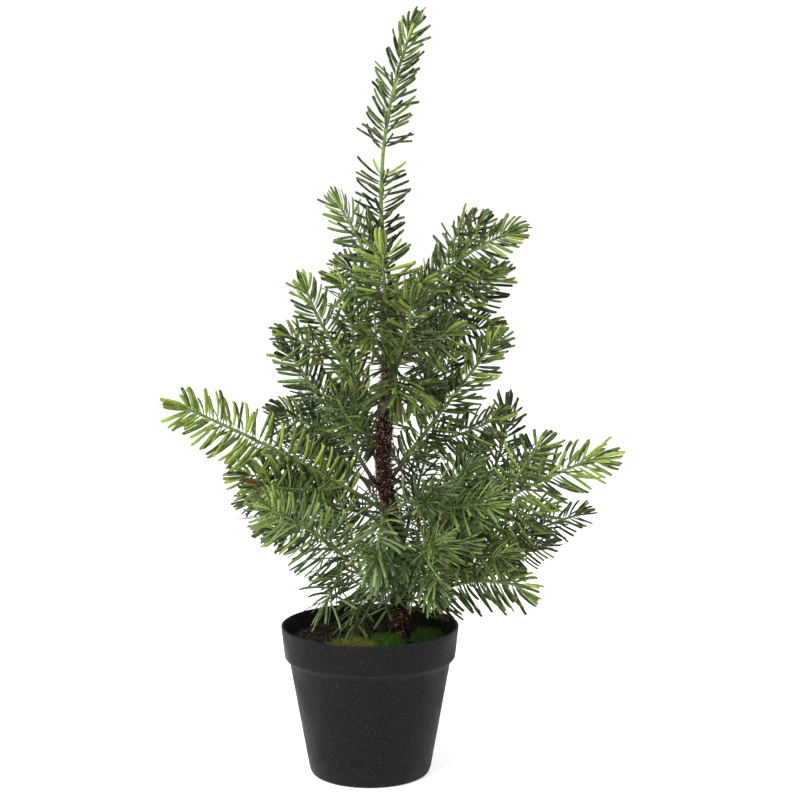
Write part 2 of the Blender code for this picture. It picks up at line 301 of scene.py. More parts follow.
def moss_finish(name, colour):
    made = finish(name, 0.88, Specular_IOR_Level=0.25)
    tone = mark(made, "tone")
    colour = tuple(colour)
    shaded = ramp(made, tone, ((0.0, tint(colour, 0.06)), (0.5, tint(colour, 0.55)),
                               (0.8, tint(colour, 1.1)), (1.0, tuple(min(1, 1.7 * c) for c in colour))))
    drift = grain(made, place_of(made), 95, 3)
    other = (0.55 * colour[0], 0.95 * colour[1], 0.8 * colour[2])
    to_shader(made, "Base Color", layered(made, shaded, drift, 0.44, 0.6, 0.75, other))
    bumped(made, grain(made, place_of(made), 1400, 2), 0.5, 0.0004)
    return made


def bark_finish(settings):
    made = finish("bark_fibre", 0.72, Specular_IOR_Level=0.15)
    tone = mark(made, "tone")
    dark, warm, pale = (tuple(c) for c in (settings.dark, settings.warm, settings.pale))
    colour = ramp(made, tone, ((0.0, tint(dark, 0.35)), (0.38, dark), (0.66, warm),
                               (0.84, tuple(0.45 * a + 0.4 * b for a, b in zip(warm, pale))), (1.0, pale)))
    twist = grain(made, place_of(made, scale=(1.0, 1.0, 0.35)), 620, 4)
    to_shader(made, "Base Color", layered(made, colour, twist, 0.35, 0.7, 0.55, tint(dark, 0.25)))
    bumped(made, twist, 0.7, 0.0006)
    return made


def stem_finish(settings):
    made = finish("stem_coating", 0.5, Specular_IOR_Level=0.2)
    green, root = tuple(settings.stem), tuple(settings.root)
    where = place_of(made)
    mottle = grain(made, where, 260, 3)
    colour = ramp(made, mark(made, "along"), ((0.0, tint(root, 0.5)), (0.28, root), (0.55, green),
                                              (1.0, tint(green, 1.15))))
    to_shader(made, "Base Color", layered(made, colour, mottle, 0.42, 0.66, 0.6, tint(green, 0.45)))
    to_shader(made, "Roughness", band(made, mottle, 0.3, 0.7, 0.4, 0.62))
    bumped(made, grain(made, where, 900, 2), 0.5, 0.0004)
    return made


# Pale green painted highlight at the needles' edges and in patches
SAGE_HIGHLIGHT = shade(166, 182, 112)


def needle_finish(settings):
    """Moulded needles: a dark midline, pale edges and pale patches as painted highlight, streaks along,
    undersides darkened as painted shade, and a few rusty ends.
    """
    made = finish("needle_plastic", 0.42, Specular_IOR_Level=0.17, Subsurface_Weight=0.06,
                  Subsurface_Radius=(0.001, 0.0016, 0.0005))
    deep, leaf, lime, sea = (tuple(c) for c in (settings.deep, settings.leaf, settings.lime, settings.sea))
    tone, along, across = mark(made, "tone"), mark(made, "along"), mark(made, "across")
    warm = ramp(made, tone, ((0.0, tint(deep, 0.7)), (0.25, deep), (0.58, leaf), (1.0, lime)))
    cool = ramp(made, tone, ((0.0, tint(sea, 0.22)), (0.45, tint(sea, 0.62)), (1.0, sea)))
    colour = mixed(made, mark(made, "blue"), warm, cool)
    # Painted highlight: paler towards the needle's edges
    colour = layered(made, colour, across, 0.45, 1.0, 0.26, SAGE_HIGHLIGHT)
    colour = layered(made, colour, across, 0.3, 0.0, 0.28, tint(deep, 0.6))
    streaks = grain(made, place_of(made, "UV", (34.0, 3.0, 1.0)), 1.0, 3)
    colour = layered(made, colour, streaks, 0.52, 0.72, 0.3, tint(deep, 0.8))
    drift = grain(made, place_of(made), 240, 3)
    # Painted highlight: pale patches over the needles
    colour = layered(made, colour, drift, 0.5, 0.68, 0.26, SAGE_HIGHLIGHT)
    colour = layered(made, colour, along, 0.22, 0.0, 0.55, tuple(settings.stem))
    # Painted shade: the needles' undersides darkened
    colour = mixed(made, calc(made, "MULTIPLY", mark(made, "under"), 0.45), colour, tint(deep, 0.5))
    rusty = calc(made, "MULTIPLY", mark(made, "rusty"), band(made, along, 0.4, 0.95, 0.15, 1.0))
    colour = mixed(made, rusty, colour, tuple(settings.bud))
    to_shader(made, "Base Color", colour)
    to_shader(made, "Roughness", band(made, drift, 0.3, 0.72, 0.34, 0.54))
    bumped(made, calc(made, "ADD", streaks, calc(made, "MULTIPLY", drift, 0.6)), 0.35, 0.0003)
    return made


def cast_finish(name, colour, scale, roughness, metallic=0.0):
    """A plain cast, foamed or drawn stuff inside the pot and the trunk."""
    made = finish(name, roughness, Metallic=metallic)
    lumps = grain(made, place_of(made), scale, 5)
    to_shader(made, "Base Color", mixed(made, band(made, lumps, 0.35, 0.68), tint(colour, 0.6), colour))
    bumped(made, lumps, 0.5, 0.0008)
    return made


# ---- modelling

def nothing_selected():
    if bpy.context.object and bpy.context.object.mode != "OBJECT":
        bpy.ops.object.mode_set(mode="OBJECT")
    bpy.ops.object.select_all(action="DESELECT")


def faces_out():
    """Turns the edited mesh's faces outwards and leaves edit mode."""
    bpy.ops.mesh.select_all(action="SELECT")
    bpy.ops.mesh.normals_make_consistent(inside=False)
    bpy.ops.object.mode_set(mode="OBJECT")


def circle_at(sides, radius, height):
    """A filled circle, selected and in edit mode."""
    nothing_selected()
    bpy.ops.mesh.primitive_circle_add(vertices=sides, radius=radius, fill_type="NGON",
                                      location=(0, 0, height))
    bpy.ops.object.transform_apply(location=True, rotation=True, scale=True)
    bpy.ops.object.mode_set(mode="EDIT")
    bpy.ops.mesh.select_all(action="SELECT")
    return bpy.context.object


def drawn_up(stations):
    """Extrudes the circle through stations of (height, half width, half thickness). The shape is closed."""
    for (height, wide, thick), (higher, wider, thicker) in zip(stations, stations[1:]):
        bpy.ops.mesh.extrude_region_move(TRANSFORM_OT_translate={"value": (0, 0, higher - height)})
        bpy.ops.transform.resize(value=(wider / wide, thicker / thick, 1), center_override=(0, 0, higher))
    faces_out()


def lathe(name, profile, sides):
    """A closed turned form, profile being (radius, height)."""
    made = circle_at(sides, *profile[0])
    made.name = made.data.name = name
    drawn_up([(height, radius, radius) for radius, height in profile])
    return made


Template = namedtuple("Template", "points starts corners")


def template_of(made):
    """The made object's mesh as arrays, for copying. The object is deleted."""
    mesh = made.data
    # Blender adds the faces of an extrusion in no fixed order
    faces = sorted(list(face.vertices) for face in mesh.polygons)
    starts = np.cumsum([0] + [len(face) for face in faces[:-1]])
    made_template = Template(points_of(mesh), starts, np.concatenate(faces))
    nothing_selected()
    made.select_set(True)
    bpy.ops.object.delete()
    return made_template


def strand_template(sides, stations):
    """A tapered strand one unit long up +Z, stations being (height, half width, half thickness)."""
    height, wide, thick = stations[0]
    made = circle_at(sides, 1, height)
    bpy.ops.transform.resize(value=(wide, thick, 1), center_override=(0, 0, height))
    drawn_up(stations)
    return template_of(made)


def crumb_template():
    nothing_selected()
    bpy.ops.mesh.primitive_ico_sphere_add(subdivisions=1, radius=1)
    made = bpy.context.object
    for vertex in made.data.vertices:
        vertex.co *= 1 + 0.35 * noise.noise(vertex.co * 1.9)
    return template_of(made)


def unit(vectors):
    return vectors / np.maximum(np.linalg.norm(vectors, axis=-1, keepdims=True), 1e-9)


def copies(template, origin, forward, across, size, bend=None):
    """All copies' points. Each stands on its origin, +Z along forward and +X along across, at its size."""
    forward = unit(forward)
    across = unit(across - (across * forward).sum(1, keepdims=True) * forward)
    over = np.cross(forward, across)
    spots = template.points
    made = origin[:, None, :]
    for k, axis in enumerate((across, over, forward)):
        made = made + (spots[None, :, k] * size[:, k, None])[:, :, None] * axis[:, None, :]
    if bend is not None:
        made = made + (spots[:, 2] ** 2)[None, :, None] * bend[:, None, :]
    return made.reshape(-1, 3)


def on_disc(rng, reach, height, count):
    """Random spots spread evenly over a level disc."""
    away = reach * np.sqrt(rng.random(count))
    turn = rng.random(count) * FULL_TURN
    return np.stack([away * np.cos(turn), away * np.sin(turn), np.full(count, height)], axis=1)


def piece_of(name, template, points, marks, uv=None):
    """One mesh object holding every copy. marks are values at each vertex."""
    count = len(points) // len(template.points)
    corners = (template.corners[None, :] + len(template.points) * np.arange(count)[:, None]).ravel()
    starts = (template.starts[None, :] + len(template.corners) * np.arange(count)[:, None]).ravel()
    mesh = bpy.data.meshes.new(name)
    mesh.vertices.add(len(points))
    mesh.vertices.foreach_set("co", points.astype(np.float32).ravel())
    mesh.loops.add(len(corners))
    mesh.loops.foreach_set("vertex_index", corners.astype(np.int32))
    mesh.polygons.add(len(starts))
    mesh.polygons.foreach_set("loop_start", starts.astype(np.int32))
    mesh.update(calc_edges=True)
    for key, values in marks.items():
        set_mark(mesh, key, values)
    if uv is not None:
        layer = mesh.uv_layers.new(name="UVMap")
        layer.data.foreach_set("uv", np.tile(uv[template.corners], (count, 1)).astype(np.float32).ravel())
    mesh.shade_smooth()
    made = bpy.data.objects.new(name, mesh)
    bpy.context.scene.collection.objects.link(made)
    return made


def hairs(name, rng, origin, way, long, radii, stray, tone):
    """Short strands that bend at random by about stray. tone gives a value for each of a count."""
    count = len(origin)
    size = np.stack([rng.uniform(*radii, count)] * 2 + [long], axis=1)
    template = strand_template(3, FIBRE_SHAPE)
    bend = rng.normal(0, stray, (count, 3))
    points = copies(template, origin, way, rng.normal(0, 1, (count, 3)), size, bend)
    return piece_of(name, template, points, {"tone": np.repeat(tone(count), len(template.points))})


def set_mark(mesh, key, values):
    layer = mesh.attributes.new(key, "FLOAT", "POINT")
    layer.data.foreach_set("value", np.broadcast_to(values, len(mesh.vertices)).astype(np.float32))


def points_of(mesh):
    found = np.empty(len(mesh.vertices) * 3)
    mesh.vertices.foreach_get("co", found)
    return found.reshape(-1, 3)


def tubes(name, routes, bevel_level):
    """Round tubes along several routes of (points, radii), as one closed mesh object."""
    nothing_selected()
    bpy.ops.curve.primitive_nurbs_path_add()
    made = bpy.context.object
    made.name = made.data.name = name
    curve = made.data
    curve.splines.clear()
    curve.dimensions = "3D"
    curve.twist_mode = "MINIMUM"
    curve.bevel_depth = 1.0
    curve.bevel_resolution = bevel_level
    curve.use_fill_caps = True
    for points, radii in routes:
        spline = curve.splines.new("POLY")
        spline.points.add(len(points) - 1)
        for spot, place, radius in zip(spline.points, points, radii):
            spot.co = (*place, 1.0)
            spot.radius = radius
    bpy.ops.object.convert(target="MESH")
    made = bpy.context.object
    bpy.ops.object.mode_set(mode="EDIT")
    bpy.ops.mesh.select_all(action="SELECT")
    bpy.ops.mesh.remove_doubles(threshold=0.00001)
    faces_out()
    made.data.shade_smooth()
    return made


def joined(first, *others):
    nothing_selected()
    for item in (first, *others):
        item.select_set(True)
    bpy.context.view_layer.objects.active = first
    bpy.ops.object.join()
    return first


def placed(made, material, slot, body, *nodes):
    """Gives a finished piece its material and its body, and hides the CAD nodes it stands for. The slot is not
    used.
    """
    made.data.materials.clear()
    made.data.materials.append(material)
    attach(made, body)
    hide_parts(*nodes)


# ---- routes

class Arc:
    """A stem's centre line: it leaves origin along forward and turns to lift by bend radians a metre."""

    def __init__(self, origin, forward, lift, bend, length):
        self.origin, self.forward, self.lift = (np.array(v, float) for v in (origin, forward, lift))
        self.bend = bend if abs(bend) > LEAST_BEND else LEAST_BEND
        self.length = length
        self.side = np.cross(self.lift, self.forward)

    def at(self, distance):
        turn = np.atleast_1d(distance)[:, None] * self.bend
        place = self.origin + (np.sin(turn) * self.forward + (1 - np.cos(turn)) * self.lift) / self.bend
        ahead = np.cos(turn) * self.forward + np.sin(turn) * self.lift
        over = np.cos(turn) * self.lift - np.sin(turn) * self.forward
        return place, ahead, over


def rings(points, measure):
    """The points in groups, split where their sorted measure jumps."""
    order = np.argsort(measure)
    breaks = np.nonzero(np.diff(measure[order]) > RING_GAP)[0] + 1
    return [points[group] for group in np.split(order, breaks)]


def root_of(name):
    """A branch's pivot and its level direction away from the trunk."""
    joint = JOINTS[name]
    return np.array(joint["pos_m"]), np.cross(UP, np.array(joint["axis"]))


def branch_arc(name):
    """The arc that the CAD wire follows, from its bend outwards."""
    pivot, out = root_of(name)
    points = np.unique(points_of(frame["nodes"]["wire_" + name].data).round(6), axis=0) - pivot
    centres = np.array([ring.mean(0) for ring in rings(points, np.linalg.norm(points, axis=1))])
    steps = np.diff(np.stack([centres @ out, centres[:, 2]], axis=1), axis=0)
    slopes = np.unwrap(np.arctan2(steps[:, 1], steps[:, 0]))
    lengths = np.linalg.norm(steps, axis=1)
    middles = np.cumsum(lengths) - lengths / 2
    bend, rise = np.polyfit(middles, slopes, 1)
    forward = math.cos(rise) * out + math.sin(rise) * UP
    lift = math.cos(rise) * UP - math.sin(rise) * out
    return Arc(pivot, forward, lift, bend, lengths.sum() + WIRE_SHORT_OF_TIP)


def on_line(heights, line):
    """The line's points at the heights."""
    return np.stack([np.interp(heights, line[:, 2], line[:, k]) for k in (0, 1)] + [heights], axis=-1)


def trunk_rings():
    """The trunk's centres and radii, from the CAD sleeve."""
    points = np.unique(points_of(frame["nodes"]["trunk_bark"].data).round(6), axis=0)
    found = rings(points, points[:, 2])
    centres = np.array([ring.mean(0) for ring in found])
    spokes = [(ring - centre)[:, :2] for ring, centre in zip(found, centres)]
    return centres, np.array([np.linalg.norm(spoke, axis=1).max() for spoke in spokes])


# ---- looks of each spray

# tone from dark 0 to lime 1, blue from leaf green 0 to sea green 1, needles to a metre, needle length and
# width, their angle from the stem in degrees, flatness of the comb from 0 to 1, its tilt in degrees from
# lying flat, how much the tip brightens, and twigs as (share along, tilt in degrees, angle, length)
Look = namedtuple("Look", "tone blue count length width angle flat tilt young twigs")

LOOKS = {
    "leader": Look(0.36, 0.03, 640, 0.0235, 0.0023, 65, 0.2, 84, 0.16, ()),
    "upper_left": Look(0.54, 0.09, 700, 0.0245, 0.0024, 67, 0.45, 78, 0.08,
                       ((0.3, 70, 42, 0.04), (0.22, -100, 50, 0.034))),
    "upper_right": Look(0.55, 0.03, 660, 0.022, 0.0024, 69, 0.6, 76, 0.14,
                        ((0.26, -82, 40, 0.05), (0.4, 84, 30, 0.046), (0.6, 70, 34, 0.03))),
    "upper_front": Look(0.68, 0.05, 700, 0.0275, 0.0027, 79, 0.6, 6, 0.08,
                        ((0.3, 180, 60, 0.04), (0.34, 0, 60, 0.036), (0.16, -95, 80, 0.036))),
    "mid_front": Look(0.52, 0.05, 700, 0.0285, 0.0027, 77, 0.5, 10, 0.14,
                      ((0.26, 10, 56, 0.044), (0.34, 175, 56, 0.04), (0.18, -90, 84, 0.03),
                       (0.1, -60, 70, 0.034), (0.03, -90, 78, 0.026))),
    "high_right": Look(0.46, 0.06, 620, 0.0245, 0.0025, 69, 0.62, 78, 0.22,
                       ((0.3, -78, 40, 0.05), (0.56, 85, 32, 0.03))),
    "high_left": Look(0.56, 0.06, 660, 0.022, 0.0023, 67, 0.55, 80, 0.14,
                      ((0.28, 90, 40, 0.044), (0.44, -85, 40, 0.046))),
    "high_back_left": Look(0.36, 0.12, 600, 0.0225, 0.0021, 65, 0.4, 55, 0.1, ((0.36, 90, 44, 0.04),)),
    "mid_left": Look(0.34, 0.18, 760, 0.024, 0.0025, 71, 0.5, 84, 0.14,
                     ((0.36, -80, 44, 0.052), (0.3, 80, 38, 0.046))),
    "twig_left": Look(0.4, 0.15, 660, 0.021, 0.0021, 65, 0.35, 60, 0.12, ((0.4, 80, 44, 0.034),)),
    "low_left": Look(0.74, 0.0, 700, 0.0255, 0.0029, 84, 0.72, 88, 0.26,
                     ((0.2, -80, 36, 0.07), (0.34, -95, 38, 0.056))),
    "back_left": Look(0.22, 0.12, 640, 0.021, 0.0017, 65, 0.35, 75, 0.08,
                      ((0.34, 70, 46, 0.056), (0.3, -80, 46, 0.056), (0.58, -70, 42, 0.04))),
    "lower_left": Look(0.27, 0.15, 720, 0.022, 0.0022, 67, 0.45, 80, 0.15,
                       ((0.3, -70, 46, 0.056), (0.24, 80, 48, 0.056), (0.52, -80, 42, 0.044))),
    "front_left": Look(0.58, 0.4, 880, 0.0295, 0.0024, 84, 0.8, 62, 0.26,
                       ((0.3, 110, 46, 0.058), (0.26, -90, 128, 0.036), (0.44, -90, 104, 0.038),
                        (0.06, 60, 60, 0.04))),
    "front_twig": Look(0.66, 0.62, 470, 0.024, 0.003, 71, 0.35, 30, 0.05,
                       ((0.25, 38, 72, 0.062), (0.3, -60, 60, 0.04))),
    "front_right": Look(0.76, 0.5, 860, 0.0275, 0.002, 66, 0.1, 20, 0.2,
                        ((0.3, 10, 55, 0.044), (0.26, 180, 58, 0.052), (0.4, -80, 50, 0.034),
                         (0.12, -90, 50, 0.04), (0.16, 205, 62, 0.046))),
    "right_front": Look(0.68, 0.38, 820, 0.0265, 0.002, 66, 0.1, 20, 0.18,
                        ((0.3, 20, 50, 0.05), (0.28, 170, 54, 0.044), (0.44, 80, 46, 0.04))),
    "long_right": Look(0.6, 0.09, 640, 0.0265, 0.0025, 73, 0.6, 80, 0.26,
                       ((0.2, 95, 40, 0.08), (0.34, -85, 34, 0.06), (0.56, 85, 34, 0.05),
                        (0.16, -120, 52, 0.06))),
    "back_right": Look(0.22, 0.06, 600, 0.02, 0.0018, 65, 0.55, 82, 0.12,
                       ((0.26, 80, 40, 0.06), (0.4, -75, 26, 0.06))),
    "bottom_right": Look(0.34, 0.06, 560, 0.025, 0.0027, 75, 0.8, 88, 0.3, ((0.3, 100, 40, 0.04),)),
    "mid_right": Look(0.52, 0.12, 720, 0.024, 0.0024, 67, 0.55, 80, 0.14,
                      ((0.24, -90, 44, 0.066), (0.48, 85, 34, 0.05), (0.34, 80, 40, 0.05))),
    "fan_right": Look(0.46, 0.18, 660, 0.023, 0.0022, 67, 0.45, 72, 0.26,
                      ((0.14, -95, 56, 0.078), (0.34, 75, 40, 0.066), (0.56, -75, 38, 0.052),
                       (0.24, -130, 50, 0.07))),
    "low_back": Look(0.4, 0.17, 680, 0.023, 0.0022, 67, 0.45, 20, 0.2,
                     ((0.24, 0, 46, 0.07), (0.42, 180, 44, 0.06), (0.6, 20, 40, 0.046),
                      (0.2, 180, 56, 0.064))),
    "mid_back": Look(0.42, 0.14, 680, 0.023, 0.0022, 67, 0.45, 20, 0.2,
                     ((0.26, 180, 46, 0.062), (0.44, 0, 44, 0.052), (0.22, -20, 50, 0.056))),
    "high_back": Look(0.46, 0.11, 680, 0.022, 0.0022, 67, 0.45, 30, 0.18,
                      ((0.3, 180, 46, 0.05), (0.34, 0, 46, 0.046))),
}
# How much of a stem and of a twig stays bare at its root
BARE, TWIG_BARE = 0.016, 0.01
# Where the needles begin on the stems with another bare length
STARTS = {"front_left": 0.003, "mid_front": 0.006, "upper_front": 0.008, "bottom_right": 0.009,
          "front_right": 0.01, "front_twig": 0.01, "low_left": 0.03}
# The leader's bare neck, as shares of its length
NECK = (0.44, 0.53)

# height up the needle, half width and half thickness: a small peg, a broad blade and a blunt tip
NEEDLE_SHAPE = ((0.0, 0.44, 0.95), (0.06, 0.3, 0.8), (0.15, 0.7, 1.0), (0.42, 0.96, 1.0),
                (0.78, 1.0, 0.92), (0.95, 0.9, 0.78), (1.0, 0.6, 0.55))
FIBRE_SHAPE = ((0.0, 1.0, 1.0), (0.5, 0.8, 0.8), (1.0, 0.25, 0.25))

# Combs less flat than this end in a rosette
ROSETTE_BELOW = 0.15
# Needles at a stem's very tip, and how far they lean from it in degrees
TIP_NEEDLES, TIP_LEAN = 7, (8, 30)
ROSETTE_NEEDLES, ROSETTE_LEAN = 26, (8, 74)
# The widest turn of a comb's first needle, in radians
FIRST_TURN = 6.28
# Standard deviations between needles: turn and roll in radians, angle in degrees, the others as shares
SPREAD = {"turn": 0.14, "angle": 6.0, "roll": 0.36, "long": 0.08, "wide": 0.035, "tone": 0.23, "blue": 0.12}
# A needle's bend towards the stem's tip, how much it varies, and its droop, as shares of its length
BEND, BEND_SPREAD, DROOP = 0.21, 0.1, 0.1
# Shares of rusty needles at the tip and along the stem
RUSTY_TIP, RUSTY_ALONG = 0.06, 0.004
# How far off the centre line a needle stands
OFF_CENTRE = 0.0006

STEM_STATIONS, STEM_TAPER, STEM_WOBBLE = 15, 0.55, 0.00018
# From a root's brown to the coating's green
ROOT_FADE = 0.055
# A twig against its stem: thickness, needle length, difference from the middle tone, brightening
TWIG_THICKNESS, TWIG_NEEDLE, TWIG_TONE, TWIG_YOUNG = 0.72, 0.88, 0.5, 0.4
MIDDLE_TONE = 0.42
# A twig's bend in radians a metre, and how far twigs stray in tilt, their combs in tilt, and both in tone
TWIG_BEND, TWIG_STRAY, COMB_STRAY, TONE_STRAY = 5.0, 6, 12, 0.05
# Keeps the branches' random numbers apart
SEED_STEP = 101


def comb_width(arc, tilt):
    """The comb's wide direction, signed so that its face looks up and outwards."""
    lean = math.radians(tilt)
    wide = math.cos(lean) * arc.side + math.sin(lean) * arc.lift
    face = np.cross(arc.forward, wide)
    outwards = np.array((0.0, -1.0 if arc.forward[1] < 0.35 else 1.0, 0.6))
    return wide if face @ outwards >= 0 else -wide


def length_at(share):
    """Needle length as a share of the longest: shorter near the root and at the tip."""
    return 0.8 + 0.2 * np.sin(np.pi * np.clip(share * 1.05, 0, 1))


def needles_on(arc, start, look, fullness, rng, brighter=0.0):
    """Where each needle of one comb stands and how it is turned, as a dict of arrays."""
    span = arc.length - start
    count = max(4, int(fullness * look.count * span))
    rosette = look.flat < ROSETTE_BELOW
    tips = ROSETTE_NEEDLES if rosette else TIP_NEEDLES
    share = np.append((np.arange(count) + rng.random(count)) / count, np.full(tips, 0.995))
    total = count + tips
    tip = np.arange(total) >= count
    place, ahead, _ = arc.at(start + span * share)
    wide = comb_width(arc, look.tilt)
    wide = unit(wide - (ahead @ wide)[:, None] * ahead)
    face = unit(np.cross(ahead, wide))
    turn = GOLDEN_TURN * np.arange(total) + rng.normal(0, SPREAD["turn"], total) + rng.random() * FIRST_TURN
    turn = turn - look.flat * np.sin(2 * turn)
    outward = np.cos(turn)[:, None] * wide + np.sin(turn)[:, None] * face
    angle = np.radians(look.angle + rng.normal(0, SPREAD["angle"], total)) * (1.06 - 0.42 * share ** 3)
    lean = rng.uniform(*(ROSETTE_LEAN if rosette else TIP_LEAN), total)
    angle = np.where(tip, np.radians(lean), angle)
    forward = np.cos(angle)[:, None] * ahead + np.sin(angle)[:, None] * outward
    across = unit(np.cross(face, forward))
    roll = rng.normal(0, SPREAD["roll"], total)[:, None]
    across = np.cos(roll) * across + np.sin(roll) * np.cross(forward, across)
    long = look.length * length_at(share) * rng.normal(1, SPREAD["long"], total)
    inwards = unit(ahead - (ahead * forward).sum(1)[:, None] * forward)
    bend = inwards * (long * rng.normal(BEND, BEND_SPREAD, total))[:, None]
    bend[:, 2] -= long * DROOP
    tone = look.tone + brighter + rng.normal(0, SPREAD["tone"], total) + look.young * (share ** 2 - 0.35)
    rusty = rng.random(total) < np.where(tip, RUSTY_TIP, RUSTY_ALONG)
    wide = look.width * rng.normal(0.5, SPREAD["wide"], total)
    blue = look.blue + rng.normal(0, SPREAD["blue"], total) - 0.35 * look.young * share
    return {
        "origin": place + OFF_CENTRE * outward, "forward": forward, "across": across, "bend": bend,
        "long": long, "wide": wide, "tone": tone, "blue": np.clip(blue, 0, 1),
        "rusty": np.where(rusty, rng.uniform(0.5, 1.0, total), 0.0),
    }


def twig_arc(arc, share, tilt, angle, length):
    """A side shoot that leaves the stem at share of its length and curves forwards."""
    place, ahead, over = (row[0] for row in arc.at(share * arc.length))
    lean, spread = math.radians(tilt), math.radians(angle)
    outward = unit(math.cos(lean) * arc.side + math.sin(lean) * over)
    forward = math.cos(spread) * ahead + math.sin(spread) * outward
    lift = math.sin(spread) * ahead - math.cos(spread) * outward
    return Arc(place, forward, lift, TWIG_BEND, length)


def stem_route(arc, thick, rng):
    place = arc.at(np.linspace(0.0, arc.length, STEM_STATIONS))[0]
    wobble = rng.normal(0, STEM_WOBBLE, place.shape)
    wobble[0] = 0
    return place + wobble, thick * np.linspace(1.0, STEM_TAPER, STEM_STATIONS)


def blade_marks(template):
    """Where each vertex of a needle is: how far along, how near an edge, and 1 on the underside, which the
    needle finish darkens as painted shade.
    """
    spots = template.points
    widest = np.array([np.abs(spots[np.abs(spots[:, 2] - z) < 0.01, 0]).max() for z in spots[:, 2]])
    under = (spots[:, 1] < -0.01).astype(float)
    return {"along": spots[:, 2], "across": np.abs(spots[:, 0]) / widest, "under": under}


def make_branch(name, template, settings, stem_material, needle_material):
    look = LOOKS[name]
    rng = np.random.default_rng(settings.seed + sorted(LOOKS).index(name) * SEED_STEP)
    arc = branch_arc(name)
    routes = [stem_route(arc, settings.stem_radius, rng)]
    combs = [needles_on(arc, STARTS.get(name, BARE), look, settings.fullness, rng)]
    for share, tilt, angle, length in look.twigs:
        twig = twig_arc(arc, share, tilt + rng.normal(0, TWIG_STRAY), angle, length)
        routes.append(stem_route(twig, TWIG_THICKNESS * settings.stem_radius, rng))
        smaller = look._replace(length=TWIG_NEEDLE * look.length, tilt=look.tilt + rng.normal(0, COMB_STRAY),
                                tone=MIDDLE_TONE + TWIG_TONE * (look.tone - MIDDLE_TONE),
                                young=TWIG_YOUNG * look.young)
        combs.append(needles_on(twig, TWIG_BARE, smaller, settings.fullness, rng, rng.normal(0, TONE_STRAY)))
    found = {key: np.concatenate([comb[key] for comb in combs]) for key in combs[0]}
    if name == "leader":
        up = np.linalg.norm(found["origin"] - arc.origin, axis=1) / arc.length
        kept = (up < NECK[0]) | (up > NECK[1])
        found = {key: values[kept] for key, values in found.items()}

    count = len(found["long"])
    size = np.stack([found["wide"], np.full(count, settings.thickness / 2), found["long"]], axis=1)
    points = copies(template, found["origin"], found["forward"], found["across"], size, found["bend"])
    marks = {key: np.repeat(found[key], len(template.points)) for key in ("tone", "blue", "rusty")}
    marks.update({key: np.tile(values, count) for key, values in blade_marks(template).items()})
    uv = np.stack([template.points[:, 0] / 2 + 0.5, template.points[:, 2]], axis=1)
    foliage = piece_of("foliage_" + name, template, points, marks, uv)
    placed(foliage, needle_material, "needle_plastic", "branch_" + name, "needles_" + name)

    stem = tubes("stem_" + name, routes, 2)
    away = np.linalg.norm(points_of(stem.data) - arc.origin, axis=1)
    set_mark(stem.data, "along", np.clip(away / ROOT_FADE, 0, 1))
    placed(stem, stem_material, "stem_coating", "branch_" + name, "wire_" + name)


# ---- operators

# Facets round the foot's edge and over the lip
FOOT_STEPS, LIP_STEPS = 5, 6


class TREE_OT_pot(bpy.types.Operator):
    """Turns the moulded pot with its thick band, stepped shoulder and rounded lip"""
    bl_idname = "tree.pot"
    bl_label = "Pot"

    def execute(self, context):
        s = context.scene.tree_pot
        band_foot, shoulder = s.height - s.band_height, s.height - s.band_height - s.band_step_height
        foot_of_band = s.rim_radius - s.band_taper
        under = foot_of_band - s.band_step

        def outer(height):
            if height >= band_foot:
                return foot_of_band + s.band_taper * (height - band_foot) / s.band_height
            if height >= shoulder:
                return under + s.band_step * (height - shoulder) / s.band_step_height
            return s.base_radius + (under - s.base_radius) * height / shoulder

        lip = s.wall / 2
        profile = [(s.base_radius - s.foot_rounding, 0.0)]
        for turn in np.linspace(0, math.pi / 2, FOOT_STEPS + 1)[1:]:
            profile.append((s.base_radius - s.foot_rounding * (1 - math.sin(turn)),
                            s.foot_rounding * (1 - math.cos(turn))))
        profile += [(outer(z), z) for z in np.linspace(s.foot_rounding + 0.002, shoulder - 0.001, 9)]
        profile += [(outer(shoulder) + 0.0002, shoulder + 0.0001),
                    (outer(band_foot) - 0.0006, band_foot - 0.0002),
                    (outer(band_foot), band_foot + 0.0006)]
        profile += [(outer(z), z) for z in np.linspace(band_foot + 0.003, s.height - lip, 4)]
        for turn in np.linspace(0, math.pi, LIP_STEPS + 1)[1:]:
            profile.append((s.rim_radius - lip + lip * math.cos(turn), s.height - lip + lip * math.sin(turn)))
        inside = np.array((s.height - 0.004, band_foot + s.wall, shoulder, s.floor + s.foot_rounding))
        profile += [(outer(max(z - s.wall / 2, 0)) - s.wall, z) for z in inside]
        profile.append((outer(s.floor) - s.wall - s.foot_rounding * 0.6, s.floor))
        made = lathe("pot_shell", profile, s.sides)
        bpy.ops.object.shade_smooth_by_angle(angle=math.radians(40))
        placed(made, pot_finish(s), "pot_plastic", "root", "pot")
        return {"FINISHED"}


class TREE_OT_filling(bpy.types.Operator):
    """Finishes the parts inside the pot and the trunk, which keep their CAD shapes"""
    bl_idname = "tree.filling"
    bl_label = "Filling"

    def execute(self, context):
        finishes = {
            "cement_ballast": cast_finish("cement", (0.42, 0.41, 0.39), 160, 0.92),
            "foam_filler": cast_finish("filler_foam", (0.75, 0.76, 0.7), 420, 0.9),
            "trunk_core": cast_finish("core_steel", (0.55, 0.55, 0.55), 700, 0.4, 1.0),
        }
        for name, material in finishes.items():
            mesh = frame["nodes"][name].data
            mesh.materials.clear()
            mesh.materials.append(material)
        return {"FINISHED"}


